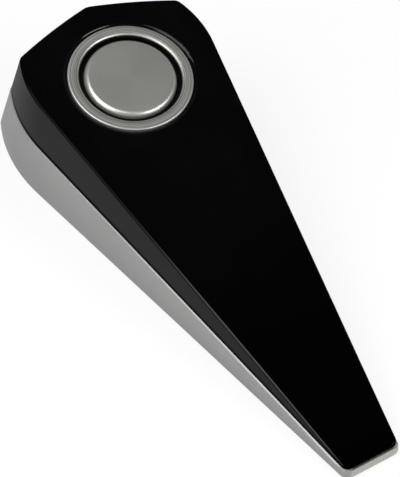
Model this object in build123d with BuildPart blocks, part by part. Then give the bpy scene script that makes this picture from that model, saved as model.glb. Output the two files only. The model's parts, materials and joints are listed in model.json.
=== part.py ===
from build123d import *
from math import atan, cos, sin
import os

# Door stop alarm: a wedge with a silver base, a black pressure cover hinged at its
# thin tip, a round test button in a brushed ring, and the works of a 9 V alarm.
# Millimetres. +X runs to the thin tip, +Z up, origin on the floor under the middle.

# Overall wedge: the tip and the rear apex set its length, the battery and the room
# beside and above it set its width and height
nose_x = 72.85
base_apex_x = -72.92
stand_height = 0.5
side_room = 12.5
button_room = 10.4
disc_setback = 22.45
nose_top_height = 2.72
cut_overrun = 1.0
fine_gap = 0.1

# Base outline on the underside
base_nose_half = 7.2
base_swell_setback = 35.97
base_corner_setback = 6.62
corner_taper = 3.7
base_nose_radius = 2.2
base_corner_radius = 3.2

# Outline on the sloping top
apex_lean = 17.92
top_swell_setback = 21.5
top_corner_setback = 7.1
nose_flare = 0.35
swell_flare = 1.77
top_nose_radius = 1.8
top_corner_radius = 2.6
rear_bow = 0.5
apex_radius = 4.0
least_radius = 0.4

# Walls
wall = 2.2
rim_wall = 1.1
nose_wall = 0.7
floor_thickness = 1.5
nose_floor_thickness = 1.2
nose_block = 15.85
cover_inset = 0.15
cover_nose_gap = 0.2
roof_thickness = 2.0
cover_nose_underside = 2.0

# Parting line: the rim of the base and the lower edge of the cover
rim_nose_height = 2.23
rim_disc_height = 16.4
rim_chamfer = 0.3
gap_nose = 0.3
gap_rear = 0.85
tongue_clearance = 0.25
tongue_depth = 1.0
rebate_depth = 1.95
top_edge_radius = 0.5

# Hinge at the tip
hinge_setback = 12.85
hinge_z = 3.5
pin_radius = 0.75
lug_side_inset = 1.0
lug_width = 1.6
lug_half_length = 1.8
lug_height = 4.75
lug_clearance = 0.3
knuckle_half_length = 1.7
knuckle_play = 0.06
lug_play = 0.02
snap_throat = 1.3
hinge_floor_thickness = 1.0

# Ring, button and the well that holds them
ring_radius = 15.3
ring_bore_radius = 12.2
ring_thickness = 1.6
ring_edge_radius = 0.35
ring_inner_radius = 1.45
ring_seat_gap = 0.05
ring_side_gap = 0.12
well_rim_radius = 1.3
well_play = 0.2
seat_pad_width = 1.7
seat_pad_floor = 1.25
cup_wall = 1.4
cup_floor = 1.2
cap_radius = 11.3
cap_thickness = 1.5
cap_edge_radius = 1.3
plunger_step = 0.2
flange_radius = 13.0
flange_thickness = 1.0
flange_lift = 0.25
stem_radius = 1.8
stem_play = 0.15
press_gap = 0.05
button_travel = 0.8
spring_play = 0.825
spring_pocket_depth = 4.9
pocket_boss_wall = 1.5
pocket_boss_floor = 1.0

# Button spring
button_spring_radius = 2.9
button_spring_wire = 0.35
button_spring_turns = 2.5

# Button board
button_board_length = 12.0
button_board_width = 22.0
button_board_thickness = 0.9
button_board_depth = 8.2
button_post_radius = 2.0
button_post_half = 8.5
button_screw_radius = 0.7
button_screw_length = 3.5
button_screw_head_radius = 1.4
button_screw_head = 0.9
button_switch_side = 5.0
button_switch_height = 1.5
actuator_radius = 1.1
actuator_height = 0.25

# Cover springs and shoulder screws
screw_setback = 12.3
screw_share = 0.482
screw_tube_radius = 3.6
screw_seat_z = 10.0
screw_web = 2.0
screw_bore_radius = 2.7
screw_radius = 1.25
screw_play = 0.2
screw_head_radius = 2.3
screw_head = 1.6
screw_top_z = 27.0
cover_boss_radius = 3.0
cover_boss_z = 21.0
cover_spring_radius = 2.0
cover_spring_wire = 0.5
cover_spring_turns = 6

# Battery, its bay and door
battery_length = 46.4
battery_width = 26.5
battery_height = 17.5
battery_corner_radius = 2.0
battery_rear_gap = 1.3
battery_lift = 0.3
terminal_pitch = 12.7
stud_radius = 2.8
socket_radius = 4.0
socket_bore_radius = 3.1
terminal_height = 2.1
terminal_base = 0.5
snap_inset = 1.25
snap_height = 12.0
snap_thickness = 4.2
snap_corner_radius = 4.0
bay_wall = 1.4
bay_gap = 0.35
bay_setback = 20.62
connector_room = 5.6
bay_height = 19.0
lead_notch_width = 13.0
lead_notch_z = 11.0
bridge_gap = 0.2
bridge_thickness = 0.8
rear_bridge_length = 7.0
front_bridge_setback = 19.0
front_bridge_length = 8.0
door_ledge = 0.6
door_gap = 0.2
door_thickness = 1.5
tab_width = 6.0
tab_side_inset = 5.6
tab_reach = 1.6
tab_thickness = 1.1
tab_gap = 0.12
riser_thickness = 1.2
tab_window_height = 5.2
latch_width = 9.0
latch_thickness = 0.9
latch_height = 6.0
latch_gap = 0.25
grip_slot_width = 12.0
grip_slot_length = 1.0
grip_slot_depth = 0.5
grip_slot_pitch = 2.2
grip_slot_count = 3

# Main board and its parts
board_bay_gap = 1.6
board_nose_room = 30.85
board_inset = 3.0
board_lift = 2.5
board_thickness = 1.2
board_corner_radius = 1.5
post_radius = 2.2
post_rear_inset = 5.5
post_side_inset = 3.15
post_front_inset = 2.5
board_screw_radius = 0.9
board_screw_length = 3.2
board_screw_head_radius = 1.8
board_screw_head = 1.2
coil_share = 0.4
coil_half = 8.0
coil_radius = 3.9
coil_core_radius = 2.4
coil_height = 7.5
coil_flange = 1.0
winding_inset = 0.3
capacitor_radius = 3.15
capacitor_height = 7.6
capacitor_groove = 0.35
capacitor_groove_z = 1.2
capacitor_groove_height = 0.8
chip_share = 0.55
chip_length = 8.7
chip_width = 3.9
chip_height = 1.5
chip_lift = 0.15
chip_leg_pitch = 1.27
chip_leg_count = 7
chip_leg_width = 0.42
chip_leg_reach = 1.05
chip_leg_thickness = 0.25
chip_foot = 0.5
transistor_share = 0.62
transistor_half = 7.6
transistor_radius = 2.35
transistor_flat = 1.4
transistor_height = 4.6
transistor_lift = 1.4
transistor_leg = 0.45
transistor_pitch = 1.27
resistor_gap = 0.85
resistor_pitch = 4.2
resistor_count = 4
resistor_length = 3.2
resistor_width = 1.6
resistor_height = 0.55
trigger_side = 6.0
trigger_body_height = 3.5
trigger_plunger_radius = 1.7
trigger_plunger_height = 2.8
trigger_play = 0.06
trigger_pocket = 0.5
trigger_gap = 0.08
trigger_boss_radius = 2.3

# Siren behind the rear wall
siren_radius = 10.0
siren_thickness = 0.3
ceramic_radius = 7.0
ceramic_thickness = 0.25
siren_z = 11.8
siren_setback = 6.2
siren_boss_wall = 1.2
siren_seat = 0.8
siren_seat_depth = 0.25
siren_boss_reach = 12.0
siren_boss_relief = 3.2
sound_slot_length = 12.0
sound_slot_width = 1.3
sound_slot_pitch = 2.8
sound_slot_count = 4
sound_slot_first_z = 6.0

# Power switch on the rear facet
switch_offset = 1.352
switch_rise_share = 0.27
switch_length = 8.6
switch_width = 3.6
switch_depth = 3.4
switch_pocket_depth = 1.5
switch_dish_length = 9.0
switch_dish_width = 5.0
switch_dish_depth = 0.9
switch_dish_radius = 1.0
switch_setback = 2.55
slider_travel = 2.0
slider_length = 2.0
slider_width = 1.6
slider_rib = 0.3
slider_setback = 0.35
slider_gap = 0.15
switch_board_length = 10.4
switch_board_width = 6.4
switch_board_thickness = 1.0
switch_rib_thickness = 1.1
switch_rib_length = 7.0

# Leads
lead_gauge = 1.1
fine_lead_gauge = 0.8
lead_bend = 1.2
fine_lead_bend = 1.0
lead_stub = 1.6
battery_lead_half = 5.0
battery_lead_z = 12.0
battery_lead_gap = 1.2
lane_gap = 0.3
lane_high_z = 14.4
lane_low_z = 8.0
lane_level = 1.2
lane_drop_offset = 7.0
lane_drop_run = 6.0
lane_drop_shift = 0.8
lane_turn_gap = 0.6
lead_land_inset = 1.6
lead_land_side_inset = 1.2
lead_land_pitch = 1.3
ceramic_lead_run = 15.36
brass_lead_run = 17.16
ceramic_lead_half = 4.0
brass_lead_half = 8.6
siren_lead_rise = 1.0
switch_lead_across = 1.6
switch_lead_high = 3.5
switch_lead_low = 0.5
switch_lead_high_run = -0.5
switch_lead_low_run = 2.3
switch_lead_run = 3.5
button_lead_half = 1.6
button_lead_stub = 1.2
button_lead_rise_run = 6.0
button_lead_bend_run = 8.5
button_lead_drop_inset = 0.9
button_lead_lift = 1.1
button_lead_under = 0.5
button_lead_end_gap = 0.45

# Anti-slip pads
pad_recess = 0.5
pad_margin = 2.6
front_pad_bay_gap = 6.0
front_pad_setback = 17.85
pad_corner_radius = 2.0
rear_pad_door_gap = 1.7
rear_pad_side_inset = 4.3
rear_pad_setback = 12.92
rear_pad_bay_inset = 16.0
rear_pad_screw_gap = 5.0
pad_gap = 0.1

# Places along the wedge, from the rear apex and from the tip inwards
base_swell_x = base_apex_x + base_swell_setback
base_corner_x = base_apex_x + base_corner_setback
top_apex_x = base_apex_x + apex_lean
top_swell_x = top_apex_x + top_swell_setback
top_corner_x = top_apex_x + top_corner_setback
disc_x = top_apex_x + disc_setback
bay_rear_x = base_apex_x + bay_setback
battery_x = bay_rear_x + battery_rear_gap
bay_front_x = battery_x + battery_length + connector_room
front_bridge_x = bay_front_x - front_bridge_setback
screw_x = bay_rear_x + screw_setback
cavity_front_x = nose_x - nose_block
hinge_x = nose_x - hinge_setback
board_rear_x = bay_front_x + bay_wall + board_bay_gap
board_front_x = nose_x - board_nose_room
post_rear_x = board_rear_x + post_rear_inset
post_front_x = board_front_x - post_front_inset
trigger_x = post_rear_x
front_pad_rear_x = bay_front_x + front_pad_bay_gap
front_pad_front_x = nose_x - front_pad_setback
rear_pad_rear_x = base_apex_x + rear_pad_setback
rear_pad_front_x = bay_front_x - rear_pad_bay_inset

# Half widths, from the battery outwards and from the tip's sides inwards
bay_half = battery_width / 2 + bay_gap
bay_outer_half = bay_half + bay_wall
opening_half = bay_half + door_ledge
base_swell_half = battery_width / 2 + side_room
base_corner_half = base_swell_half - corner_taper
top_nose_half = base_nose_half - nose_flare
top_swell_half = base_swell_half - swell_flare
top_corner_half = base_corner_half
lug_outer_half = base_nose_half - lug_side_inset
lug_inner_half = lug_outer_half - lug_width
screw_half = bay_outer_half + (base_swell_half - wall - bay_outer_half) * screw_share
tab_half_pitch = bay_half - tab_side_inset
rear_pad_inner_half = opening_half + rear_pad_door_gap
rear_pad_outer_half = base_swell_half - rear_pad_side_inset

# Heights, from the floor up
floor_z = stand_height + floor_thickness
battery_z = stand_height + door_thickness + battery_lift
bridge_z = battery_z + battery_height + bridge_gap
disc_height = bridge_z + bridge_thickness + button_room
board_z = floor_z + board_lift

# Radii and depths round the button, from its axis outwards and from the top down
plunger_top_radius = cap_radius - plunger_step
well_radius = flange_radius + well_play
seat_pad_radius = ring_radius + seat_pad_width
seat_pad_depth = ring_thickness + ring_seat_gap + seat_pad_floor
flange_top = cap_thickness + flange_lift
well_depth = flange_top + flange_thickness + button_travel + well_play
stem_depth = button_board_depth - button_switch_height - actuator_height
stem_depth -= button_travel + press_gap
stem_hole_radius = stem_radius + stem_play
spring_pocket_radius = button_spring_radius + button_spring_wire / 2 + spring_play
pocket_boss_radius = spring_pocket_radius + pocket_boss_wall
pocket_boss_depth = spring_pocket_depth + pocket_boss_floor

# Slopes and planes
top_slope = (disc_height - nose_top_height) / (nose_x - disc_x)
top_tilt = atan(top_slope)
rim_slope = (rim_disc_height - rim_nose_height) / (nose_x - disc_x)
gap_slope = (gap_rear - gap_nose) / (nose_x - base_apex_x)

top_plane = Plane(
    origin=(disc_x, 0, disc_height),
    x_dir=(cos(top_tilt), 0, -sin(top_tilt)),
    z_dir=(sin(top_tilt), 0, cos(top_tilt)),
)
base_plane = Plane.XY.offset(stand_height)
floor_plane = Plane.XY.offset(floor_z)
rim_plane = Plane(origin=(nose_x, 0, rim_nose_height), z_dir=(rim_slope, 0, 1))
edge_plane = Plane(
    origin=(nose_x, 0, rim_nose_height + gap_nose),
    z_dir=(rim_slope + gap_slope, 0, 1),
)
# A section plane through the button: across is the radius, up is the top's normal
section_plane = Plane(
    origin=top_plane.origin, x_dir=top_plane.x_dir, z_dir=-top_plane.y_dir
)
button_axis = Axis(top_plane.origin, top_plane.z_dir)


def top_z(x):
    """Height of the sloping top at x."""
    return disc_height - top_slope * (x - disc_x)


def base_half(x):
    """Half width of the underside on its straight sides."""
    share = (nose_x - x) / (nose_x - base_swell_x)
    return base_nose_half + share * (base_swell_half - base_nose_half)


def outline(plane, stretch, centre_x, nose, swell, corner, apex_x, radii, inset, front):
    """Plan outline of the wedge on one plane, moved in by the inset.

    The nose is cut at front. Straight sides run back to the swell, arcs carry on
    to the rear corners, and two slightly bowed edges meet at the rear apex.
    """

    def at(x, y):
        return ((x - centre_x) * stretch, y)

    taper = (swell[1] - nose) / (nose_x - swell[0])
    cut_x = front + inset
    cut_half = nose + taper * (nose_x - cut_x)
    with BuildSketch(plane) as sketch:
        with BuildLine():
            side = Line(at(cut_x, cut_half), at(*swell))
            TangentArc(at(*swell), at(*corner), tangent=side % 1)
            middle = at((corner[0] + apex_x) / 2 - rear_bow, corner[1] / 2)
            ThreePointArc(at(*corner), middle, at(apex_x, 0))
            mirror(about=Plane.XZ)
            Line(at(cut_x, cut_half), at(cut_x, -cut_half))
        make_face()
        if inset > 0:
            offset(amount=-inset, kind=Kind.INTERSECTION)
        for pick, radius in zip((slice(-2, None), slice(1, 3), slice(0, 1)), radii):
            corners = vertices().sort_by(Axis.X)
            fillet(corners[pick], radius=max(radius - inset, least_radius))
    return sketch.sketch


def wedge_form(inset, front, above=(), below=()):
    """The wedge between underside and top, moved in by the inset and cut by planes."""
    with BuildPart() as form:
        under = outline(
            base_plane, 1, 0, base_nose_half,
            (base_swell_x, base_swell_half), (base_corner_x, base_corner_half), base_apex_x,
            (base_nose_radius, base_corner_radius, apex_radius), inset, front,
        )
        over = outline(
            top_plane, 1 / cos(top_tilt), disc_x, top_nose_half,
            (top_swell_x, top_swell_half), (top_corner_x, top_corner_half), top_apex_x,
            (top_nose_radius, top_corner_radius, apex_radius), inset, front,
        )
        loft(sections=[under.face(), over.face()], ruled=True)
        for plane in above:
            split(bisect_by=plane, keep=Keep.TOP)
        for plane in below:
            split(bisect_by=plane, keep=Keep.BOTTOM)
    return form.part


def along(start, end, share):
    """The point a share of the way from start to end."""
    return start + (end - start) * share


def prism(plane, depth, *shapes):
    """A solid raised from a sketch of rectangles, each (x, y, length, width, corner)."""
    with BuildPart() as block:
        with BuildSketch(plane):
            for x, y, size_x, size_y, corner in shapes:
                with Locations((x, y)):
                    if corner > 0:
                        RectangleRounded(size_x, size_y, corner)
                    else:
                        Rectangle(size_x, size_y)
        extrude(amount=depth)
    return block.part


def lead(points, bend, gauge):
    """One insulated lead: straight runs joined by tangent arcs, swept by a circle."""
    with BuildPart() as tube:
        with BuildLine() as route:
            FilletPolyline(*points, radius=bend)
        with BuildSketch(Plane(origin=route.line @ 0, z_dir=route.line % 0)):
            Circle(gauge / 2)
        sweep(path=route.line)
    return tube.part


def coil_spring(plane, height, radius, wire, turns):
    """A compression spring standing on a plane, one unbroken wire."""
    seat = plane.offset(wire / 2)
    with BuildPart() as coil:
        with BuildLine() as route:
            Helix(
                pitch=(height - wire) / turns, height=height - wire, radius=radius,
                center=seat.origin, direction=seat.z_dir,
            )
        with BuildSketch(Plane(origin=route.line @ 0, z_dir=route.line % 0)):
            Circle(wire / 2)
        sweep(path=route.line, is_frenet=True)
    return coil.part


def front_pad_outline(gap):
    """The front pad follows the taper of the base; the gap makes it fit its recess."""
    rear_half = base_half(front_pad_rear_x) - pad_margin - gap
    front_half = base_half(front_pad_front_x) - pad_margin - gap
    with BuildSketch(base_plane) as sketch:
        with BuildLine():
            Polyline(
                (front_pad_rear_x + gap, -rear_half),
                (front_pad_front_x - gap, -front_half),
                (front_pad_front_x - gap, front_half),
                (front_pad_rear_x + gap, rear_half),
                close=True,
            )
        make_face()
        fillet(vertices(), radius=pad_corner_radius)
    return sketch.sketch


def rear_pad_outline(gap):
    """Two strips on each side of the battery door, clear of the screw heads."""
    width = rear_pad_outer_half - rear_pad_inner_half - 2 * gap
    middle_y = (rear_pad_outer_half + rear_pad_inner_half) / 2
    with BuildSketch(base_plane) as sketch:
        for start, end in (
            (rear_pad_rear_x, screw_x - rear_pad_screw_gap),
            (screw_x + rear_pad_screw_gap, rear_pad_front_x),
        ):
            for side in (1, -1):
                with Locations(((start + end) / 2, side * middle_y)):
                    RectangleRounded(end - start - 2 * gap, width, pad_corner_radius)
    return sketch.sketch


def finish(part, label):
    """Name a sub-part and write it out."""
    part.label = label
    export_step(part, f"parts/{label}.step")


os.makedirs("parts", exist_ok=True)

# Forms that the two shells share
cover_nose_x = nose_x - nose_wall - cover_nose_gap
nose_floor_plane = Plane.XY.offset(stand_height + nose_floor_thickness)
outer_form = wedge_form(0, nose_x, below=[rim_plane])
nose_lip = wedge_form(
    0, nose_x, above=[Plane.YZ.offset(nose_x - nose_wall)], below=[top_plane.offset(-fine_gap)]
)
cavity = wedge_form(wall, cavity_front_x, above=[floor_plane])
rebate = wedge_form(
    rim_wall, nose_x - nose_wall, above=[rim_plane.offset(-rebate_depth), nose_floor_plane]
)

# Siren seat plane, square to the rear apex line and set in from it
apex_low = Vector(base_apex_x, 0, stand_height)
apex_high = Vector(top_apex_x, 0, top_z(top_apex_x))
rear_up = (apex_high - apex_low).normalized()
rear_out = Vector(-rear_up.Z, 0, rear_up.X)
apex_at_siren = apex_low + rear_up * (
    (siren_z + siren_setback * rear_out.Z - stand_height) / rear_up.Z
)
siren_plane = Plane(
    origin=apex_at_siren - rear_out * siren_setback, x_dir=(0, 1, 0), z_dir=rear_out
)

# Power switch plane on the rear facet of the +Y side, +Z outwards, Y up the wall
corner_low = Vector(base_corner_x, base_corner_half, stand_height)
corner_high = Vector(top_corner_x, top_corner_half, top_z(top_corner_x))
switch_share = (bay_outer_half + switch_offset) / base_corner_half
facet_low = along(apex_low, corner_low, switch_share)
facet_high = along(apex_high, corner_high, switch_share)
facet_across = (corner_low - apex_low).normalized()
facet_up = (facet_high - facet_low).normalized()
facet_out = facet_up.cross(facet_across).normalized()
switch_plane = Plane(
    origin=along(facet_low, facet_high, switch_rise_share) + facet_out * rear_bow / 2,
    x_dir=facet_up.cross(facet_out), z_dir=facet_out,
)

# Base shell
bay_length = bay_front_x - bay_rear_x
bay_middle_x = (bay_front_x + bay_rear_x) / 2
post_rear_half = base_half(post_rear_x) - board_inset - post_side_inset
post_places = [
    (post_rear_x, post_rear_half),
    (post_rear_x, -post_rear_half),
    (post_front_x, 0),
]
screw_places = [(screw_x, screw_half), (screw_x, -screw_half)]
pocket_shell = prism(
    base_plane, bay_height - stand_height,
    (bay_middle_x, 0, bay_length + 2 * bay_wall, 2 * bay_outer_half, 0),
)
switch_rib_x = (switch_board_width - switch_rib_thickness) / 2
siren_boss_radius = siren_radius + siren_boss_wall
with BuildPart() as siren_boss:
    with BuildSketch(siren_plane.offset(-siren_seat_depth)):
        Circle(siren_boss_radius)
        Circle(siren_radius - siren_seat, mode=Mode.SUBTRACT)
    extrude(amount=siren_boss_reach)
    with BuildSketch(siren_plane.offset(-siren_seat_depth)):
        Circle(siren_radius + fine_gap)
    extrude(amount=siren_seat_depth, mode=Mode.SUBTRACT)
siren_boss_low = siren_boss.part & wedge_form(
    rim_wall, nose_x - nose_wall, below=[rim_plane.offset(-rebate_depth)]
)
siren_boss_high = siren_boss.part & wedge_form(siren_boss_relief, cavity_front_x)

with BuildPart() as base_shell:
    add(outer_form)
    rim_edges = edges().filter_by(
        lambda edge: abs(rim_plane.to_local_coords(edge.center()).Z) < fine_gap
    )
    chamfer(rim_edges, length=rim_chamfer)
    add(nose_lip)
    add(cavity, mode=Mode.SUBTRACT)
    add(rebate, mode=Mode.SUBTRACT)
    # Battery bay walls, screw tubes, board posts, siren boss and hinge lugs
    add(pocket_shell)
    with BuildSketch(base_plane):
        with Locations(*screw_places):
            Circle(screw_tube_radius)
    extrude(amount=screw_seat_z + screw_web - stand_height)
    with BuildSketch(base_plane):
        with Locations(*post_places):
            Circle(post_radius)
    extrude(amount=board_z - stand_height)
    add(siren_boss_low)
    add(siren_boss_high)
    lug_middle = (lug_inner_half + lug_outer_half) / 2
    for side in (1, -1):
        with BuildSketch(Plane.XZ.offset(-side * lug_middle)):
            with Locations((hinge_x, (stand_height + lug_height) / 2)):
                Rectangle(2 * lug_half_length, lug_height - stand_height)
        extrude(amount=(lug_outer_half - lug_inner_half) / 2, both=True)
    # Ribs that the switch board seats on
    rib_depth = switch_setback + switch_depth
    with BuildSketch(switch_plane.offset(-rib_depth)):
        with Locations((switch_rib_x, 0), (-switch_rib_x, 0)):
            Rectangle(switch_rib_thickness, switch_rib_length)
    extrude(amount=rib_depth - wall / 2)
    # The bay is open below, with a ledge that the door closes against
    with BuildSketch(Plane.XY):
        with Locations((bay_middle_x, 0)):
            Rectangle(bay_length, 2 * bay_half)
    extrude(amount=bay_height + cut_overrun, mode=Mode.SUBTRACT)
    with BuildSketch(Plane.XY):
        with Locations((bay_middle_x, 0)):
            Rectangle(bay_length + 2 * door_ledge, 2 * opening_half)
    extrude(amount=floor_z + door_gap / 2, mode=Mode.SUBTRACT)
    for x, reach in (
        (bay_rear_x - bay_wall, rear_bridge_length + bay_wall),
        (front_bridge_x, front_bridge_length),
    ):
        with BuildSketch(Plane.XY.offset(bridge_z)):
            with Locations((x + reach / 2, 0)):
                Rectangle(reach, 2 * bay_outer_half)
        extrude(amount=bridge_thickness)
        with BuildSketch(Plane.XY.offset(bay_height - bay_wall)):
            with Locations((x + reach / 2, bay_half + bay_wall / 2)):
                Rectangle(reach, bay_wall)
            with Locations((x + reach / 2, -bay_half - bay_wall / 2)):
                Rectangle(reach, bay_wall)
        extrude(amount=bridge_z + bridge_thickness - bay_height + bay_wall)
    # Notch that lets the leads out of the bay
    with BuildSketch(Plane.XY.offset(lead_notch_z)):
        with Locations((bay_front_x + bay_wall / 2, 0)):
            Rectangle(bay_wall + 2 * fine_gap, lead_notch_width)
    extrude(amount=bay_height, mode=Mode.SUBTRACT)
    # Windows that the door's tabs reach through
    with BuildSketch(Plane.XY.offset(floor_z)):
        with Locations((bay_front_x + bay_wall / 2, tab_half_pitch),
                       (bay_front_x + bay_wall / 2, -tab_half_pitch)):
            Rectangle(bay_wall + 2 * fine_gap, tab_width + 2 * door_gap)
    extrude(amount=tab_window_height - floor_z, mode=Mode.SUBTRACT)
    # Counterbores and shank holes of the shoulder screws
    with BuildSketch(Plane.XY):
        with Locations(*screw_places):
            Circle(screw_bore_radius)
    extrude(amount=screw_seat_z, mode=Mode.SUBTRACT)
    with BuildSketch(Plane.XY):
        with Locations(*screw_places):
            Circle(screw_radius + screw_play)
    extrude(amount=screw_seat_z + screw_web + cut_overrun, mode=Mode.SUBTRACT)
    # Pilot holes in the board posts
    with BuildSketch(Plane.XY.offset(board_z - board_screw_length + board_thickness)):
        with Locations(*post_places):
            Circle(board_screw_radius)
    extrude(amount=board_screw_length, mode=Mode.SUBTRACT)
    # Hinge bay: the floor is thinned under the knuckle, and the pin snaps into the lugs
    with BuildSketch(Plane.XY.offset(stand_height + hinge_floor_thickness)):
        with Locations((hinge_x, 0)):
            Rectangle(2 * (knuckle_half_length + lug_clearance), 2 * lug_inner_half)
    extrude(amount=floor_thickness, mode=Mode.SUBTRACT)
    with BuildSketch(Plane.XZ):
        with Locations((hinge_x, hinge_z)):
            Circle(pin_radius + lug_play)
        with Locations((hinge_x, hinge_z + lug_height / 2)):
            Rectangle(snap_throat, lug_height)
    extrude(amount=lug_outer_half, both=True, mode=Mode.SUBTRACT)
    # Sound slots through the rear wall inside the siren boss
    with BuildSketch(Plane.YZ.offset(base_apex_x - cut_overrun)):
        with Locations(*[
            (0, sound_slot_first_z + number * sound_slot_pitch)
            for number in range(sound_slot_count)
        ]):
            SlotOverall(sound_slot_length, sound_slot_width)
    extrude(amount=siren_plane.origin.X - base_apex_x, mode=Mode.SUBTRACT)
    # Dish and slot of the power switch
    with BuildSketch(switch_plane.offset(-switch_dish_depth)):
        RectangleRounded(switch_dish_width, switch_dish_length, switch_dish_radius)
    extrude(amount=switch_dish_depth + cut_overrun, mode=Mode.SUBTRACT)
    with BuildSketch(switch_plane.offset(-switch_setback - fine_gap)):
        Rectangle(
            slider_width + 2 * slider_gap, slider_length + slider_travel + 2 * slider_gap
        )
    extrude(amount=switch_setback + cut_overrun, mode=Mode.SUBTRACT)
    # Recesses for the anti-slip pads
    for plane_sketch in (front_pad_outline(0), rear_pad_outline(0)):
        extrude(to_extrude=plane_sketch, amount=pad_recess, mode=Mode.SUBTRACT)
finish(base_shell.part, "base_shell")

# Top cover: a plate with a skirt, a tongue inside the rim and a solid hinged nose
skirt = wedge_form(cover_inset, cover_nose_x, above=[edge_plane])
tongue_inset = rim_wall + tongue_clearance
tongue_plane = rim_plane.offset(-tongue_depth)
nose_underside_plane = Plane.XY.offset(cover_nose_underside)
tongue = wedge_form(
    tongue_inset, cover_nose_x, above=[tongue_plane, nose_underside_plane]
)
cover_cavity = wedge_form(
    wall, cavity_front_x, below=[top_plane.offset(-roof_thickness)]
)
knuckle_half = lug_inner_half - lug_clearance
trigger_boss_z = board_z + board_thickness + trigger_body_height + trigger_plunger_height
roof_reach = wedge_form(wall / 2, cavity_front_x, below=[top_plane.offset(-roof_thickness / 2)])
with BuildPart() as cover_bosses:
    for places, radius, z in (
        (screw_places, cover_boss_radius, cover_boss_z),
        ([(trigger_x, 0)], trigger_boss_radius, trigger_boss_z + trigger_gap),
    ):
        with BuildSketch(Plane.XY.offset(z)):
            with Locations(*places):
                Circle(radius)
        extrude(amount=disc_height)
with BuildPart() as top_cover:
    add(skirt)
    top_edges = edges().filter_by(
        lambda edge: abs(top_plane.to_local_coords(edge.center()).Z) < fine_gap
    )
    fillet(top_edges, radius=top_edge_radius)
    add(tongue & wedge_form(cover_inset, cover_nose_x, below=[top_plane.offset(-roof_thickness)]))
    add(cover_cavity, mode=Mode.SUBTRACT)
    # Seat of the ring and the button, hanging below the roof
    with BuildSketch(section_plane):
        with BuildLine():
            Polyline(
                (0, -roof_thickness / 2),
                (seat_pad_radius, -roof_thickness / 2),
                (seat_pad_radius, -seat_pad_depth),
                (well_radius + cup_wall, -seat_pad_depth),
                (well_radius + cup_wall, -well_depth - cup_floor),
                (pocket_boss_radius, -well_depth - cup_floor),
                (pocket_boss_radius, -pocket_boss_depth),
                (0, -pocket_boss_depth),
                close=True,
            )
        make_face()
    revolve(axis=button_axis)
    button_posts = [(0, button_post_half), (0, -button_post_half)]
    with BuildSketch(top_plane.offset(-button_board_depth)):
        with Locations(*button_posts):
            Circle(button_post_radius)
    extrude(amount=button_board_depth - well_depth - cup_floor / 2)
    add(cover_bosses.part & roof_reach)
    with BuildSketch(section_plane):
        with BuildLine():
            Polyline(
                (0, cut_overrun),
                (ring_radius + ring_side_gap, cut_overrun),
                (ring_radius + ring_side_gap, -ring_thickness - ring_seat_gap),
                (well_radius, -ring_thickness - ring_seat_gap),
                (well_radius, -well_depth),
                (spring_pocket_radius, -well_depth),
                (spring_pocket_radius, -spring_pocket_depth),
                (stem_hole_radius, -spring_pocket_depth),
                (stem_hole_radius, -pocket_boss_depth - cut_overrun),
                (0, -pocket_boss_depth - cut_overrun),
                close=True,
            )
        make_face()
    revolve(axis=button_axis, mode=Mode.SUBTRACT)
    well_rim = edges().filter_by(GeomType.CIRCLE).filter_by(
        lambda edge: abs(edge.radius - ring_radius - ring_side_gap) < fine_gap
        and abs(top_plane.to_local_coords(edge.arc_center).Z) < fine_gap
    )
    fillet(well_rim, radius=well_rim_radius)
    # Pilot holes of the button board's screws and of the shoulder screws
    with BuildSketch(top_plane.offset(-button_board_depth)):
        with Locations(*button_posts):
            Circle(button_screw_radius)
    extrude(amount=button_screw_length - button_board_thickness, mode=Mode.SUBTRACT)
    with BuildSketch(Plane.XY.offset(cover_boss_z)):
        with Locations(*screw_places):
            Circle(screw_radius)
    extrude(amount=screw_top_z - cover_boss_z, mode=Mode.SUBTRACT)
    # Knuckle between the lugs, with notches for the lugs and a snap hole for the pin
    with BuildSketch(nose_underside_plane):
        with Locations((hinge_x, 0)):
            Rectangle(2 * knuckle_half_length, 2 * knuckle_half)
    extrude(amount=hinge_z - cover_nose_underside + pin_radius)
    with BuildSketch(Plane.XY.offset(stand_height)):
        for side in (1, -1):
            with Locations((hinge_x, side * lug_middle)):
                Rectangle(
                    2 * (lug_half_length + lug_clearance),
                    lug_outer_half - lug_inner_half + 2 * lug_clearance,
                )
    extrude(amount=lug_height + lug_clearance - stand_height, mode=Mode.SUBTRACT)
    with BuildSketch(Plane.XZ):
        with Locations((hinge_x, hinge_z)):
            Circle(pin_radius + knuckle_play)
        with Locations((hinge_x, hinge_z - lug_height / 2)):
            Rectangle(snap_throat, lug_height)
    extrude(amount=knuckle_half + fine_gap, both=True, mode=Mode.SUBTRACT)
finish(top_cover.part, "top_cover")

# Bezel ring round the button, with a rounded inner edge
with BuildPart() as bezel_ring:
    with BuildSketch(section_plane):
        with BuildLine():
            Polyline(
                (ring_bore_radius, 0), (ring_radius, 0), (ring_radius, -ring_thickness),
                (ring_bore_radius, -ring_thickness), close=True,
            )
        make_face()
        for radius, rounding in (
            (ring_bore_radius, ring_inner_radius),
            (ring_radius, ring_edge_radius),
        ):
            corner = section_plane.from_local_coords(Vector(radius, 0, 0))
            fillet(vertices().sort_by_distance(corner)[0], radius=rounding)
    revolve(axis=button_axis)
finish(bezel_ring.part, "bezel_ring")

# Button: a metal cap on a plunger that the ring holds in by its flange
with BuildPart() as button_cap:
    with BuildSketch(top_plane.offset(-cap_thickness)):
        Circle(cap_radius)
    extrude(amount=cap_thickness)
    cap_edge = edges().filter_by(GeomType.CIRCLE).sort_by(button_axis)[-1]
    fillet(cap_edge, radius=cap_edge_radius)
finish(button_cap.part, "button_cap")

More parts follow.
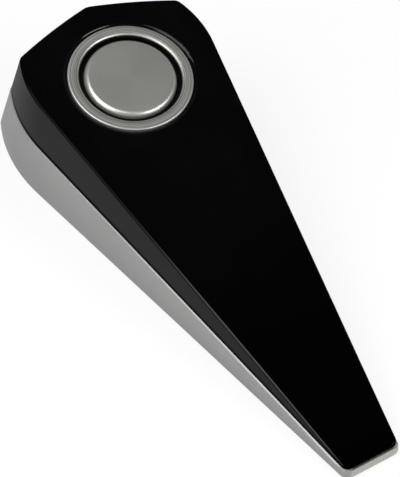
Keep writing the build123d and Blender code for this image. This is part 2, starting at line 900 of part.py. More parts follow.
with BuildPart() as button_plunger:
    with BuildSketch(section_plane):
        with BuildLine():
            Polyline(
                (0, -cap_thickness),
                (plunger_top_radius, -cap_thickness),
                (plunger_top_radius, -flange_top),
                (flange_radius, -flange_top),
                (flange_radius, -flange_top - flange_thickness),
                (stem_radius, -flange_top - flange_thickness),
                (stem_radius, -stem_depth),
                (0, -stem_depth),
                close=True,
            )
        make_face()
    revolve(axis=button_axis)
finish(button_plunger.part, "button_plunger")

button_spring = coil_spring(
    top_plane.offset(-spring_pocket_depth),
    spring_pocket_depth - flange_top - flange_thickness,
    button_spring_radius, button_spring_wire, button_spring_turns,
)
finish(button_spring, "button_spring")

with BuildPart() as button_switch:
    with BuildSketch(top_plane.offset(-button_board_depth)):
        Rectangle(button_switch_side, button_switch_side)
    extrude(amount=button_switch_height)
    chamfer(faces().sort_by(Axis.Z)[-1].edges(), length=actuator_height)
    with BuildSketch(top_plane.offset(-button_board_depth + button_switch_height)):
        Circle(actuator_radius)
    extrude(amount=actuator_height)
finish(button_switch.part, "button_switch")

with BuildPart() as button_board:
    with BuildSketch(top_plane.offset(-button_board_depth)):
        RectangleRounded(button_board_length, button_board_width, board_corner_radius)
        with Locations(*button_posts):
            Circle(button_screw_radius + fine_gap, mode=Mode.SUBTRACT)
    extrude(amount=-button_board_thickness)
finish(button_board.part, "button_board")

with BuildPart() as button_board_screws:
    with BuildSketch(top_plane.offset(-button_board_depth - button_board_thickness)):
        with Locations(*button_posts):
            Circle(button_screw_radius)
    extrude(amount=button_screw_length)
    with BuildSketch(top_plane.offset(-button_board_depth - button_board_thickness)):
        with Locations(*button_posts):
            Circle(button_screw_head_radius)
    extrude(amount=-button_screw_head)
finish(button_board_screws.part, "button_board_screws")

# Anti-slip pads, which stand proud of the underside
for name, pads in (("front_grip_pad", front_pad_outline), ("rear_grip_pads", rear_pad_outline)):
    with BuildPart() as pad:
        extrude(to_extrude=pads(pad_gap), amount=pad_recess)
        extrude(to_extrude=pads(pad_gap), amount=-stand_height)
    finish(pad.part, name)

# Battery door: a plate with a rounded hinge end, two hooked tabs and a latch finger
door_half = opening_half - door_gap
door_rear_x = bay_rear_x - door_ledge + door_gap
door_axis_x = bay_front_x + door_ledge - door_gap - door_thickness / 2
door_axis_z = stand_height + door_thickness / 2
with BuildPart() as battery_door:
    with BuildSketch(base_plane):
        with Locations(((door_rear_x + door_axis_x) / 2, 0)):
            Rectangle(door_axis_x - door_rear_x, 2 * door_half)
    extrude(amount=door_thickness)
    with BuildSketch(Plane.XZ.offset(-door_half)):
        with Locations((door_axis_x, door_axis_z)):
            Circle(door_thickness / 2)
    extrude(amount=2 * door_half)
    # Hooked tabs over the floor, in front of the hinge line
    hook_z = floor_z + tab_gap
    riser_x = bay_front_x - door_gap - riser_thickness
    with BuildSketch(Plane.XY.offset(door_axis_z)):
        with Locations((riser_x + riser_thickness / 2, tab_half_pitch),
                       (riser_x + riser_thickness / 2, -tab_half_pitch)):
            Rectangle(riser_thickness, tab_width)
    extrude(amount=hook_z + tab_thickness - door_axis_z)
    with BuildSketch(Plane.XY.offset(hook_z)):
        with Locations((riser_x + (riser_thickness + bay_wall + tab_reach) / 2, tab_half_pitch),
                       (riser_x + (riser_thickness + bay_wall + tab_reach) / 2, -tab_half_pitch)):
            Rectangle(riser_thickness + bay_wall + tab_reach, tab_width)
    extrude(amount=tab_thickness)
    # Latch finger at the rear end
    with BuildSketch(Plane.XY.offset(door_axis_z)):
        with Locations((bay_rear_x + latch_gap + latch_thickness / 2, 0)):
            Rectangle(latch_thickness, latch_width)
    extrude(amount=latch_height)
    # Thumb grips on the outside
    with BuildSketch(base_plane):
        for number in range(grip_slot_count):
            with Locations((door_rear_x + grip_slot_pitch * (number + 1), 0)):
                SlotOverall(grip_slot_width, grip_slot_length, rotation=90)
    extrude(amount=grip_slot_depth, mode=Mode.SUBTRACT)
finish(battery_door.part, "battery_door")

# Battery block and its two terminals
battery_plane = Plane(
    origin=(battery_x, 0, battery_z + battery_height / 2), x_dir=(0, 1, 0), z_dir=(1, 0, 0)
)
battery_end = battery_plane.offset(battery_length)
terminal_half = terminal_pitch / 2
with BuildPart() as battery_block:
    with BuildSketch(battery_plane):
        RectangleRounded(battery_width, battery_height, battery_corner_radius)
    extrude(amount=battery_length)
finish(battery_block.part, "battery_block")

with BuildPart() as battery_terminals:
    with BuildSketch(battery_end):
        with Locations((terminal_half, 0), (-terminal_half, 0)):
            Circle(stud_radius)
    extrude(amount=terminal_height)
    with BuildSketch(battery_end):
        with Locations((terminal_half, 0)):
            Circle(socket_radius)
    extrude(amount=terminal_base)
    with BuildSketch(battery_end):
        with Locations((-terminal_half, 0)):
            Circle(socket_radius)
    extrude(amount=terminal_height)
    with BuildSketch(battery_end.offset(terminal_base)):
        with Locations((-terminal_half, 0)):
            Circle(socket_bore_radius)
    extrude(amount=terminal_height, mode=Mode.SUBTRACT)
finish(battery_terminals.part, "battery_terminals")

# Snap connector over the terminals
snap_play = fine_gap
with BuildPart() as battery_snap:
    with BuildSketch(battery_end.offset(terminal_base + snap_play)):
        RectangleRounded(battery_width - 2 * snap_inset, snap_height, snap_corner_radius)
    extrude(amount=snap_thickness)
    with BuildSketch(battery_end):
        with Locations((terminal_half, 0), (-terminal_half, 0)):
            Circle(socket_radius + snap_play)
    extrude(amount=terminal_height + snap_play, mode=Mode.SUBTRACT)
    chamfer(faces().sort_by(Axis.X)[-1].edges(), length=terminal_base)
finish(battery_snap.part, "battery_snap")

# Main board, cut to the taper of the base
board_top_z = board_z + board_thickness
with BuildPart() as main_board:
    with BuildSketch(Plane.XY.offset(board_z)):
        with BuildLine():
            Polyline(
                (board_rear_x, -base_half(board_rear_x) + board_inset),
                (board_front_x, -base_half(board_front_x) + board_inset),
                (board_front_x, base_half(board_front_x) - board_inset),
                (board_rear_x, base_half(board_rear_x) - board_inset),
                close=True,
            )
        make_face()
        fillet(vertices(), radius=board_corner_radius)
        with Locations(*post_places):
            Circle(board_screw_radius + fine_gap, mode=Mode.SUBTRACT)
    extrude(amount=board_thickness)
finish(main_board.part, "main_board")

# Pan-head screws that hold the main board on its posts
with BuildPart() as main_board_screws:
    with BuildSketch(Plane.XY.offset(board_top_z)):
        with Locations(*post_places):
            Circle(board_screw_radius)
    extrude(amount=-board_screw_length)
    with BuildSketch(Plane.XY.offset(board_top_z)):
        with Locations(*post_places):
            Circle(board_screw_head_radius)
    extrude(amount=board_screw_head)
    fillet(
        edges().filter_by(GeomType.CIRCLE).group_by(Axis.Z)[-1], radius=board_screw_head / 3
    )
    with BuildSketch(Plane.XY.offset(board_top_z + board_screw_head)):
        with Locations(*post_places):
            Rectangle(board_screw_head_radius, board_screw_head / 4)
            Rectangle(board_screw_head / 4, board_screw_head_radius)
    extrude(amount=-board_screw_head / 2, mode=Mode.SUBTRACT)
finish(main_board_screws.part, "main_board_screws")

# Boost coil: a bobbin with two flanges and a winding between them
coil_x = along(board_rear_x, board_front_x, coil_share)
with BuildPart() as boost_coil:
    with BuildSketch(Plane.XY.offset(board_top_z)):
        with Locations((coil_x, coil_half)):
            Circle(coil_radius)
    extrude(amount=coil_height)
    with BuildSketch(Plane.XY.offset(board_top_z + coil_flange)):
        with Locations((coil_x, coil_half)):
            Circle(coil_radius)
            Circle(coil_core_radius, mode=Mode.SUBTRACT)
    extrude(amount=coil_height - 2 * coil_flange, mode=Mode.SUBTRACT)
finish(boost_coil.part, "boost_coil")

with BuildPart() as coil_winding:
    with BuildSketch(Plane.XY.offset(board_top_z + coil_flange)):
        with Locations((coil_x, coil_half)):
            Circle(coil_radius - winding_inset)
            Circle(coil_core_radius, mode=Mode.SUBTRACT)
    extrude(amount=coil_height - 2 * coil_flange)
finish(coil_winding.part, "coil_winding")

# Storage capacitor: a can with a rolled groove
with BuildPart() as storage_capacitor:
    with BuildSketch(Plane.XY.offset(board_top_z)):
        with Locations((coil_x, -coil_half)):
            Circle(capacitor_radius)
    extrude(amount=capacitor_height)
    with BuildSketch(Plane.XY.offset(board_top_z + capacitor_groove_z)):
        with Locations((coil_x, -coil_half)):
            Circle(capacitor_radius)
            Circle(capacitor_radius - capacitor_groove, mode=Mode.SUBTRACT)
    extrude(amount=capacitor_groove_height, mode=Mode.SUBTRACT)
finish(storage_capacitor.part, "storage_capacitor")

# Controller chip with two rows of bent legs
chip_x = along(board_rear_x, board_front_x, chip_share)
with BuildPart() as controller_chip:
    with BuildSketch(Plane.XY.offset(board_top_z + chip_lift)):
        with Locations((chip_x, 0)):
            Rectangle(chip_length, chip_width)
    extrude(amount=chip_height)
    leg_places = [
        (chip_x + (number - (chip_leg_count - 1) / 2) * chip_leg_pitch, side)
        for number in range(chip_leg_count)
        for side in (1, -1)
    ]
    for x, side in leg_places:
        with BuildSketch(Plane.XY.offset(board_top_z + chip_height / 2)):
            with Locations((x, side * (chip_width + chip_leg_reach) / 2)):
                Rectangle(chip_leg_width, chip_leg_reach)
        extrude(amount=chip_leg_thickness)
        with BuildSketch(Plane.XY.offset(board_top_z)):
            with Locations((x, side * (chip_width / 2 + chip_leg_reach - chip_foot / 2))):
                Rectangle(chip_leg_width, chip_foot)
        extrude(amount=chip_height / 2 + chip_leg_thickness)
finish(controller_chip.part, "controller_chip")

# Driver transistor standing on three legs
transistor_x = along(board_rear_x, board_front_x, transistor_share)
with BuildPart() as driver_transistor:
    with BuildSketch(Plane.XY.offset(board_top_z + transistor_lift)):
        with Locations((transistor_x, transistor_half)):
            Circle(transistor_radius)
        with Locations((transistor_x - transistor_radius - transistor_flat, transistor_half)):
            Rectangle(2 * transistor_radius, 2 * transistor_radius, mode=Mode.SUBTRACT)
    extrude(amount=transistor_height)
    with BuildSketch(Plane.XY.offset(board_top_z)):
        for number in (-1, 0, 1):
            with Locations((transistor_x, transistor_half + number * transistor_pitch)):
                Rectangle(transistor_leg, transistor_leg)
    extrude(amount=transistor_lift + transistor_leg)
finish(driver_transistor.part, "driver_transistor")

# A row of chip resistors in front of the controller chip
resistor_x = chip_x + (chip_length + resistor_width) / 2 + resistor_gap
with BuildPart() as resistors:
    with BuildSketch(Plane.XY.offset(board_top_z)):
        for number in range(resistor_count):
            y = (number - (resistor_count - 1) / 2) * resistor_pitch
            with Locations((resistor_x, y)):
                Rectangle(resistor_width, resistor_length)
    extrude(amount=resistor_height)
finish(resistors.part, "resistors")

# Trigger switch: the cover's boss stands just above its plunger
trigger_top_z = board_top_z + trigger_body_height
with BuildPart() as trigger_switch_body:
    with BuildSketch(Plane.XY.offset(board_top_z)):
        with Locations((trigger_x, 0)):
            Rectangle(trigger_side, trigger_side)
    extrude(amount=trigger_body_height)
    chamfer(faces().sort_by(Axis.Z)[-1].edges(), length=trigger_pocket / 2)
    with BuildSketch(Plane.XY.offset(trigger_top_z)):
        with Locations((trigger_x, 0)):
            Circle(trigger_plunger_radius + trigger_play)
    extrude(amount=-trigger_body_height + trigger_pocket, mode=Mode.SUBTRACT)
finish(trigger_switch_body.part, "trigger_switch_body")

with BuildPart() as trigger_plunger:
    with BuildSketch(Plane.XY.offset(trigger_top_z - trigger_body_height / 2)):
        with Locations((trigger_x, 0)):
            Circle(trigger_plunger_radius)
    extrude(amount=trigger_body_height / 2 + trigger_plunger_height)
    chamfer(faces().sort_by(Axis.Z)[-1].edges(), length=trigger_pocket / 2)
finish(trigger_plunger.part, "trigger_plunger")

# Siren: a brass disc bonded on the boss, with its ceramic wafer
with BuildPart() as siren_disc:
    with BuildSketch(siren_plane):
        Circle(siren_radius)
    extrude(amount=-siren_thickness)
finish(siren_disc.part, "siren_disc")

with BuildPart() as siren_ceramic:
    with BuildSketch(siren_plane.offset(-siren_thickness)):
        Circle(ceramic_radius)
    extrude(amount=-ceramic_thickness)
finish(siren_ceramic.part, "siren_ceramic")

# Power switch: body, board and slider
with BuildPart() as power_switch_body:
    with BuildSketch(switch_plane.offset(-switch_setback)):
        Rectangle(switch_width, switch_length)
    extrude(amount=-switch_depth)
    with BuildSketch(switch_plane.offset(-switch_setback)):
        Rectangle(slider_width + 2 * slider_gap, slider_length + slider_travel + 2 * slider_gap)
    extrude(amount=-switch_pocket_depth, mode=Mode.SUBTRACT)
finish(power_switch_body.part, "power_switch_body")

with BuildPart() as power_slider:
    with BuildSketch(switch_plane.offset(-slider_setback)):
        with Locations((0, -slider_travel / 2)):
            Rectangle(slider_width, slider_length)
    extrude(amount=-switch_setback - switch_pocket_depth + slider_setback + slider_gap)
    with BuildSketch(switch_plane.offset(-slider_setback)):
        with Locations((0, -slider_travel / 2)):
            Rectangle(slider_width, slider_rib)
    extrude(amount=-slider_rib, mode=Mode.SUBTRACT)
finish(power_slider.part, "power_slider")

with BuildPart() as switch_board:
    with BuildSketch(switch_plane.offset(-switch_setback - switch_depth)):
        Rectangle(switch_board_width, switch_board_length)
    extrude(amount=-switch_board_thickness)
finish(switch_board.part, "switch_board")

# Hinge pin
with BuildPart() as hinge_pin:
    with BuildSketch(Plane.XZ):
        with Locations((hinge_x, hinge_z)):
            Circle(pin_radius)
    extrude(amount=lug_outer_half, both=True)
finish(hinge_pin.part, "hinge_pin")

# Cover springs round the shoulder screws
spring_seat_z = screw_seat_z + screw_web
springs = [
    coil_spring(
        Plane(origin=(x, y, spring_seat_z), z_dir=(0, 0, 1)), cover_boss_z - spring_seat_z,
        cover_spring_radius, cover_spring_wire, cover_spring_turns,
    )
    for x, y in screw_places
]
with BuildPart() as cover_springs:
    add(springs)
finish(cover_springs.part, "cover_springs")

with BuildPart() as cover_screws:
    with BuildSketch(Plane.XY.offset(screw_seat_z)):
        with Locations(*screw_places):
            Circle(screw_head_radius)
    extrude(amount=-screw_head)
    with BuildSketch(Plane.XY.offset(screw_seat_z)):
        with Locations(*screw_places):
            Circle(screw_radius)
    extrude(amount=screw_top_z - screw_seat_z)
    with BuildSketch(Plane.XY.offset(screw_seat_z - screw_head)):
        with Locations(*screw_places):
            Rectangle(screw_head_radius, screw_head / 4)
            Rectangle(screw_head / 4, screw_head_radius)
    extrude(amount=screw_head / 2, mode=Mode.SUBTRACT)
finish(cover_screws.part, "cover_screws")

# Leads from the snap to the board
snap_front_x = battery_x + battery_length + terminal_base + snap_play + snap_thickness
battery_lead_x = board_rear_x + battery_lead_gap
for name, side in (("battery_lead_red", 1), ("battery_lead_black", -1)):
    route = [
        (snap_front_x, side * battery_lead_half, battery_lead_z),
        (battery_lead_x, side * battery_lead_half, battery_lead_z),
        (battery_lead_x, side * battery_lead_half, board_top_z),
    ]
    finish(lead(route, lead_bend, lead_gauge), name)

# Leads along both sides of the bay: over the screw tube, then down to the board
lane_half = bay_outer_half + lane_gap + fine_lead_gauge / 2
lane_drop_x = screw_x + lane_drop_offset
lane_turn_x = bay_front_x + bay_wall + lane_turn_gap
lead_land_x = board_rear_x + lead_land_inset
lead_land_half = base_half(lead_land_x) - board_inset - lead_land_side_inset


def side_route(start, enter_x, side, level):
    """Route of one side lead: its start, the high lane, the drop and the landing."""
    high = lane_high_z + level * lane_level
    low = lane_low_z + level * lane_level
    drop_x = lane_drop_x + level * lane_drop_shift
    land = side * (lead_land_half - level * lead_land_pitch)
    lane = side * lane_half
    return start + [
        (enter_x, lane, high),
        (drop_x, lane, high),
        (drop_x + lane_drop_run, lane, low),
        (lane_turn_x, lane, low),
        (lead_land_x, land, low),
        (lead_land_x, land, board_top_z),
    ]


def stub(plane, x, y, depth):
    """The first straight run of a lead, square to a face at a depth behind a plane."""
    return [
        tuple(plane.from_local_coords(Vector(x, y, -depth))),
        tuple(plane.from_local_coords(Vector(x, y, -depth - lead_stub))),
    ]


ceramic_start = stub(
    siren_plane, -ceramic_lead_half, -siren_lead_rise, siren_thickness + ceramic_thickness
)
brass_start = stub(siren_plane, -brass_lead_half, siren_lead_rise, siren_thickness)
siren_leads = [
    lead(
        side_route(ceramic_start, base_apex_x + ceramic_lead_run, -1, 1),
        fine_lead_bend, fine_lead_gauge,
    ),
    lead(
        side_route(brass_start, base_apex_x + brass_lead_run, -1, 0),
        fine_lead_bend, fine_lead_gauge,
    ),
]
with BuildPart() as siren_lead_pair:
    add(siren_leads)
finish(siren_lead_pair.part, "siren_leads")

switch_back = switch_setback + switch_depth + switch_board_thickness
high_start = stub(switch_plane, -switch_lead_across, switch_lead_high, switch_back)
low_start = stub(switch_plane, -switch_lead_across, switch_lead_low, switch_back)
low_x, low_y, low_z = low_start[-1]
low_start.append((low_x + switch_lead_run, lane_half, low_z))
switch_leads = [
    lead(
        side_route(high_start, bay_rear_x + switch_lead_high_run, 1, 1),
        fine_lead_bend, fine_lead_gauge,
    ),
    lead(
        side_route(low_start, bay_rear_x + switch_lead_low_run, 1, 0),
        fine_lead_bend, fine_lead_gauge,
    ),
]
with BuildPart() as switch_lead_pair:
    add(switch_leads)
finish(switch_lead_pair.part, "switch_leads")

# Leads of the button board run under the roof, over the bridge and down to the board
edge_depth = button_board_depth + button_board_thickness / 2
bridge_pass_z = bridge_z + bridge_thickness + button_lead_lift
button_lead_rise_x = front_bridge_x - button_lead_rise_run
button_lead_bend_x = bay_front_x - button_lead_bend_run
button_lead_drop_x = board_rear_x + button_lead_drop_inset
drop_top_z = top_z(button_lead_drop_x) - roof_thickness / cos(top_tilt) - button_lead_under
button_leads = []
for side in (1, -1):
    y = side * button_lead_half
    edge_x = button_board_length / 2
    button_leads.append(lead(
        [
            tuple(top_plane.from_local_coords(Vector(edge_x, y, -edge_depth))),
            tuple(top_plane.from_local_coords(
                Vector(edge_x + button_lead_stub, y, -edge_depth)
            )),
            (button_lead_rise_x, y, bridge_pass_z),
            (button_lead_bend_x, y, bridge_pass_z),
            (button_lead_drop_x, y, drop_top_z),
            (button_lead_drop_x, y, board_top_z + button_lead_end_gap),
        ],
        fine_lead_bend, fine_lead_gauge,
    ))
with BuildPart() as button_lead_pair:
    add(button_leads)
finish(button_lead_pair.part, "button_leads")
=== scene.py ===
import json
import math

import bmesh
import bpy
from mathutils import Matrix, Vector


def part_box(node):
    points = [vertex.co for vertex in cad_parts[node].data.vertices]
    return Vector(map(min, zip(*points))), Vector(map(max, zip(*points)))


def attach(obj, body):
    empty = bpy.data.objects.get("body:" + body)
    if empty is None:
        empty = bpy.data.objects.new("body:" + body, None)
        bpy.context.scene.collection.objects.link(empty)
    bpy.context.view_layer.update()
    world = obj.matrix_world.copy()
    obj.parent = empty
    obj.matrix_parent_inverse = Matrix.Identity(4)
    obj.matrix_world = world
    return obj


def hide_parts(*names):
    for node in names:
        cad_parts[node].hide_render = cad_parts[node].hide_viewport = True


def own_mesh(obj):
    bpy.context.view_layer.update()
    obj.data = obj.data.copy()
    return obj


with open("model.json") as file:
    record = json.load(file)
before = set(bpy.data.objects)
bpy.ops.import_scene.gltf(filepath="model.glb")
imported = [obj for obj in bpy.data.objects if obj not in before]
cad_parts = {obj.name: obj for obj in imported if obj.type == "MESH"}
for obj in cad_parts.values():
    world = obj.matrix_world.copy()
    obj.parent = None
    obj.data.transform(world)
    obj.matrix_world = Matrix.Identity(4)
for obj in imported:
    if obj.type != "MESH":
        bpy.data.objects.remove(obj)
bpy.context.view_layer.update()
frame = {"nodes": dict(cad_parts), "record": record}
nodes = frame["nodes"]
slot_of = {part["node"]: part["material_slot"] for part in frame["record"]["subparts"]}

# The wedge, in metres: its tip, and the heights there and the slopes of the top, of
# the silver rim and of the lower edge of the cover's skirt
TIP_X = 0.07285
TOP_AT_TIP = 0.00272
RIM_AT_TIP, RIM_SLOPE = 0.00223, 0.13444
EDGE_AT_TIP, EDGE_SLOPE = 0.00253, 0.13821
BUTTON_CENTRE = Vector((-0.03255, 0.0, 0.0312))
TOP_SLOPE = (BUTTON_CENTRE.z - TOP_AT_TIP) / (TIP_X - BUTTON_CENTRE.x)

# Where each painted shade and painted highlight on the silver shell begins and is full:
# along X, up the wall as a share of its height, over the rim's plane, and across from
# the middle
RIM_CHAMFER = 0.0003
REAR_X = (-0.025, -0.062)
WALL_SHARE = (0.95, 0.0)
CHAMFER_OVER_RIM = (-RIM_CHAMFER - 0.00006, -RIM_CHAMFER + 0.00002)
CHAMFER_X = (-0.06, 0.05)
BEHIND_LIP_X = (TIP_X - 0.00205, TIP_X - 0.00385)
LAND_OVER_RIM = (-0.00006, -0.00002)
LIP_TOP_FRONT_X = (TIP_X + 0.00005, TIP_X - 0.00055)
LIP_TOP_REAR_X = (TIP_X - 0.00205, TIP_X - 0.00125)
LIP_TOP_ACROSS = (0.0066, 0.0048)
LIP_FRONT_X = (TIP_X - 0.0003, TIP_X - 0.00005)
REAR_SHADE, WALL_SHADE = 0.85, 0.5
REAR_SHADE_GREY, WALL_SHADE_GREY = 0.18, 0.2
CHAMFER_HIGHLIGHT_COLOUR = (0.54, 0.54, 0.53)
LAND_SHADE_COLOUR = (0.008, 0.01, 0.006)
LIP_TOP_SHADE_COLOUR = (0.022, 0.026, 0.015)
LIP_FRONT_LIGHT_COLOUR = (0.37, 0.37, 0.345)

# Where the cover's painted shade and the masks of its lacquer begin and are full: under
# the top's plane, over the plane of the skirt's lower edge, along X, and past the line
# of the top's long edge, which tapers to the tip
SKIRT_UNDER_TOP = (-0.0002, -0.00045)
EDGE_HARD, EDGE_SOFT = (0.00045, 0.0003), (0.0012, 0.0004)
EDGE_SOFT_X = (-0.056, -0.042)
EDGE_SOFTNESS = 0.6
TOP_SHADE_X, TOP_SHADE_GREY = (-0.01, 0.05), 0.0004
SIDE_TAPER = 0.1475
LONG_EDGE_PAST, LONG_EDGE_X = (0.0131, 0.0146), (0.032, -0.004)
REAR_SKIRT_X = (-0.03, -0.06)
TOP_COAT, LONG_EDGE_COAT = 0.4, 0.07
SKIRT_COAT, REAR_SKIRT_COAT = 0.25, 0.19
COAT_ROUGHNESS = 0.09

# The ring and the disc, in the button's own axes
RING_BORE_RADIUS, RING_RADIUS, RING_DEPTH = 0.0122, 0.0153, 0.0016
RING_INNER_ROUNDING, RING_OUTER_ROUNDING = 0.00145, 0.00035
RING_BORE_SHADE = (RING_BORE_RADIUS + 0.0007, RING_BORE_RADIUS + 0.0003)
RING_EDGE_HIGHLIGHT = (RING_RADIUS - 0.00045, RING_RADIUS - 0.00025)
RING_BORE_SHADE_GREY, RING_EDGE_HIGHLIGHT_GREY = 0.004, 0.48
CAP_RADIUS, CAP_ROUNDING, CAP_DEPTH = 0.0113, 0.0013, 0.0015
CAP_FLAT_LOOPS = (0.004, 0.008)
TURNED_SEGMENTS = 256
TURNED_SHARP_DEG = 38

# The springs
STEPS_PER_TURN = 28
WIRE_SIDES = 10
COIL_SHARP_DEG = 50
COVER_COIL_RADIUS, COVER_WIRE = 0.002, 0.0005
COVER_SEAT_Z, COVER_SPRING_HEIGHT, COVER_TURNS = 0.012, 0.009, 6
BUTTON_COIL_RADIUS, BUTTON_WIRE = 0.0029, 0.00035
BUTTON_SEAT_DEPTH, BUTTON_SPRING_HEIGHT, BUTTON_TURNS = 0.0049, 0.00215, 2.5

# The band of a noise's values that the colours and the gloss are spread over, the
# depths of the bumps of a grain and of turned lines, and the look of turned metal
NOISE_LOW, NOISE_HIGH = 0.3, 0.7
GRAIN_DEPTH, LINE_DEPTH = 0.00002, 0.00001
SPUN_CLOUD_SCALE, SPUN_ANISOTROPY = 150.0, 0.2

# Floor, world and lamps
FLOOR_SIZE = 6.0
FLOOR_DROP = 0.00005
FLOOR_GLOW = 0.8
FLOOR_CLOUD_SCALE, FLOOR_GREYS, FLOOR_ROUGHNESS = 6.0, (0.9, 0.92), 0.9
SKY_HEIGHTS = (0.45, 0.8)
SKY_LIGHT = (0.25, 0.02)
LAMP_DISTANCE = 0.9
LAMPS = (
    # name, azimuth and elevation in degrees, width and height in metres, watts
    ("softbox_left", -80, 38, 0.7, 0.3, 2.2),
    ("softbox_right", 33, 37, 0.45, 0.3, 4.4),
    ("softbox_top", -92, 65, 0.66, 0.62, 5.8),
)

# The camera, fitted to the outline in the photograph
CAMERA_PLACE = Vector((0.19821, -0.1191, 0.2588))
VIEW_ALONG = Vector((-0.5759, 0.3463, -0.7406))
VIEW_UP = Vector((-0.6373, 0.3772, 0.672))
LENS, SENSOR_WIDTH, CLIP_START = 107.3, 36.0, 0.01


# Nodes


def grey(value):
    return (value, value, value)


def new_material(name):
    """An empty node material, its tree and its Principled shader."""
    material = bpy.data.materials.new(name)
    material.use_nodes = True
    tree = material.node_tree
    return material, tree, tree.nodes["Principled BSDF"]


def place_on(tree):
    """The place on the object, in metres."""
    return tree.nodes.new("ShaderNodeTexCoord").outputs["Object"]


def axes(tree):
    """The X, Y and Z sockets of the place on the object, in metres."""
    split = tree.nodes.new("ShaderNodeSeparateXYZ")
    tree.links.new(place_on(tree), split.inputs["Vector"])
    return split.outputs["X"], split.outputs["Y"], split.outputs["Z"]


def noise(tree, vector, scale, detail, rough):
    node = tree.nodes.new("ShaderNodeTexNoise")
    node.inputs["Scale"].default_value = scale
    node.inputs["Detail"].default_value = detail
    node.inputs["Roughness"].default_value = rough
    tree.links.new(vector, node.inputs["Vector"])
    return node.outputs["Fac"]


def coloured(tree, factor, dark, light):
    """A colour that goes from dark to light over the noise's band."""
    node = tree.nodes.new("ShaderNodeValToRGB")
    ends = ((NOISE_LOW, dark), (NOISE_HIGH, light))
    for element, (place, colour) in zip(node.color_ramp.elements, ends):
        element.position = place
        element.color = (*colour, 1.0)
    tree.links.new(factor, node.inputs["Fac"])
    return node.outputs["Color"]


def spread(tree, factor, low, high):
    """A value that goes from low to high over the noise's band."""
    node = tree.nodes.new("ShaderNodeMapRange")
    node.inputs["From Min"].default_value = NOISE_LOW
    node.inputs["From Max"].default_value = NOISE_HIGH
    node.inputs["To Min"].default_value = low
    node.inputs["To Max"].default_value = high
    tree.links.new(factor, node.inputs["Value"])
    return node.outputs["Result"]


def bump(tree, shader, height, strength, distance):
    node = tree.nodes.new("ShaderNodeBump")
    node.inputs["Strength"].default_value = strength
    node.inputs["Distance"].default_value = distance
    tree.links.new(height, node.inputs["Height"])
    tree.links.new(node.outputs["Normal"], shader.inputs["Normal"])


def math_node(tree, operation, *values):
    """A math node, each input either a socket or a number."""
    node = tree.nodes.new("ShaderNodeMath")
    node.operation = operation
    for socket, value in zip(node.inputs, values):
        if isinstance(value, (int, float)):
            socket.default_value = value
        else:
            tree.links.new(value, socket)
    return node.outputs["Value"]


def product(tree, first, *others):
    """The product of several factors, each a socket or a number."""
    result = first
    for other in others:
        result = math_node(tree, "MULTIPLY", result, other)
    return result


def fade(tree, value, start, end):
    """A smooth step from 0 at start to 1 at end."""
    node = tree.nodes.new("ShaderNodeMapRange")
    node.interpolation_type = "SMOOTHSTEP"
    node.inputs["From Min"].default_value = start
    node.inputs["From Max"].default_value = end
    tree.links.new(value, node.inputs["Value"])
    return node.outputs["Result"]


def height_over(tree, tip_height, slope):
    """Height above the plane that rises from tip_height at the tip with the slope."""
    x, _, z = axes(tree)
    lean = math_node(tree, "MULTIPLY_ADD", x, slope, -(tip_height + slope * TIP_X))
    return math_node(tree, "ADD", lean, z)


def tint(material, amount, colour):
    """Turns a material's base colour to a fixed colour by the amount."""
    tree = material.node_tree
    socket = tree.nodes["Principled BSDF"].inputs["Base Color"]
    node = tree.nodes.new("ShaderNodeMix")
    node.data_type = "RGBA"
    tree.links.new(amount, node.inputs["Factor"])
    tree.links.new(socket.links[0].from_socket, node.inputs["A"])
    node.inputs["B"].default_value = (*colour, 1.0)
    tree.links.new(node.outputs["Result"], socket)


# Kinds of finish


def moulded(name, dark, light, rough_low, rough_high, cloud_scale=45.0, grain=2600.0,
            strength=0.15, specular=0.5, metallic=0.0):
    """A moulded finish: cloudy colour, a fine grain and uneven gloss."""
    material, tree, shader = new_material(name)
    where = place_on(tree)
    cloud = noise(tree, where, cloud_scale, detail=4.0, rough=0.6)
    fine = noise(tree, where, grain, detail=2.0, rough=0.5)
    tree.links.new(coloured(tree, cloud, dark, light), shader.inputs["Base Color"])
    gloss = spread(tree, cloud, rough_low, rough_high)
    tree.links.new(gloss, shader.inputs["Roughness"])
    shader.inputs["Specular IOR Level"].default_value = specular
    shader.inputs["Metallic"].default_value = metallic
    bump(tree, shader, fine, strength, GRAIN_DEPTH)
    return material


def metal(name, dark, light, rough_low, rough_high):
    return moulded(name, dark, light, rough_low, rough_high, cloud_scale=120.0,
                   grain=900.0, strength=0.1, metallic=1.0)


def spun_metal(name, dark, light, rough_low, rough_high, lines, depth, metallic):
    """Turned metal with fine rings about the piece's Z axis, and the radius there."""
    material, tree, shader = new_material(name)
    x, y, _ = axes(tree)
    flat = tree.nodes.new("ShaderNodeCombineXYZ")
    tree.links.new(x, flat.inputs["X"])
    tree.links.new(y, flat.inputs["Y"])
    length = tree.nodes.new("ShaderNodeVectorMath")
    length.operation = "LENGTH"
    tree.links.new(flat.outputs["Vector"], length.inputs[0])
    radius = length.outputs["Value"]
    rings = tree.nodes.new("ShaderNodeTexNoise")
    rings.noise_dimensions = "1D"
    rings.inputs["Scale"].default_value = lines
    rings.inputs["Detail"].default_value = 2.0
    tree.links.new(radius, rings.inputs["W"])
    line = rings.outputs["Fac"]
    cloud = noise(tree, place_on(tree), SPUN_CLOUD_SCALE, detail=3.0, rough=0.6)
    tree.links.new(coloured(tree, line, dark, light), shader.inputs["Base Color"])
    gloss = spread(tree, cloud, rough_low, rough_high)
    tree.links.new(gloss, shader.inputs["Roughness"])
    shader.inputs["Metallic"].default_value = metallic
    shader.inputs["Anisotropic"].default_value = SPUN_ANISOTROPY
    tangent = tree.nodes.new("ShaderNodeTangent")
    tangent.direction_type = "RADIAL"
    tangent.axis = "Z"
    tree.links.new(tangent.outputs["Tangent"], shader.inputs["Tangent"])
    bump(tree, shader, line, depth, LINE_DEPTH)
    return material, radius


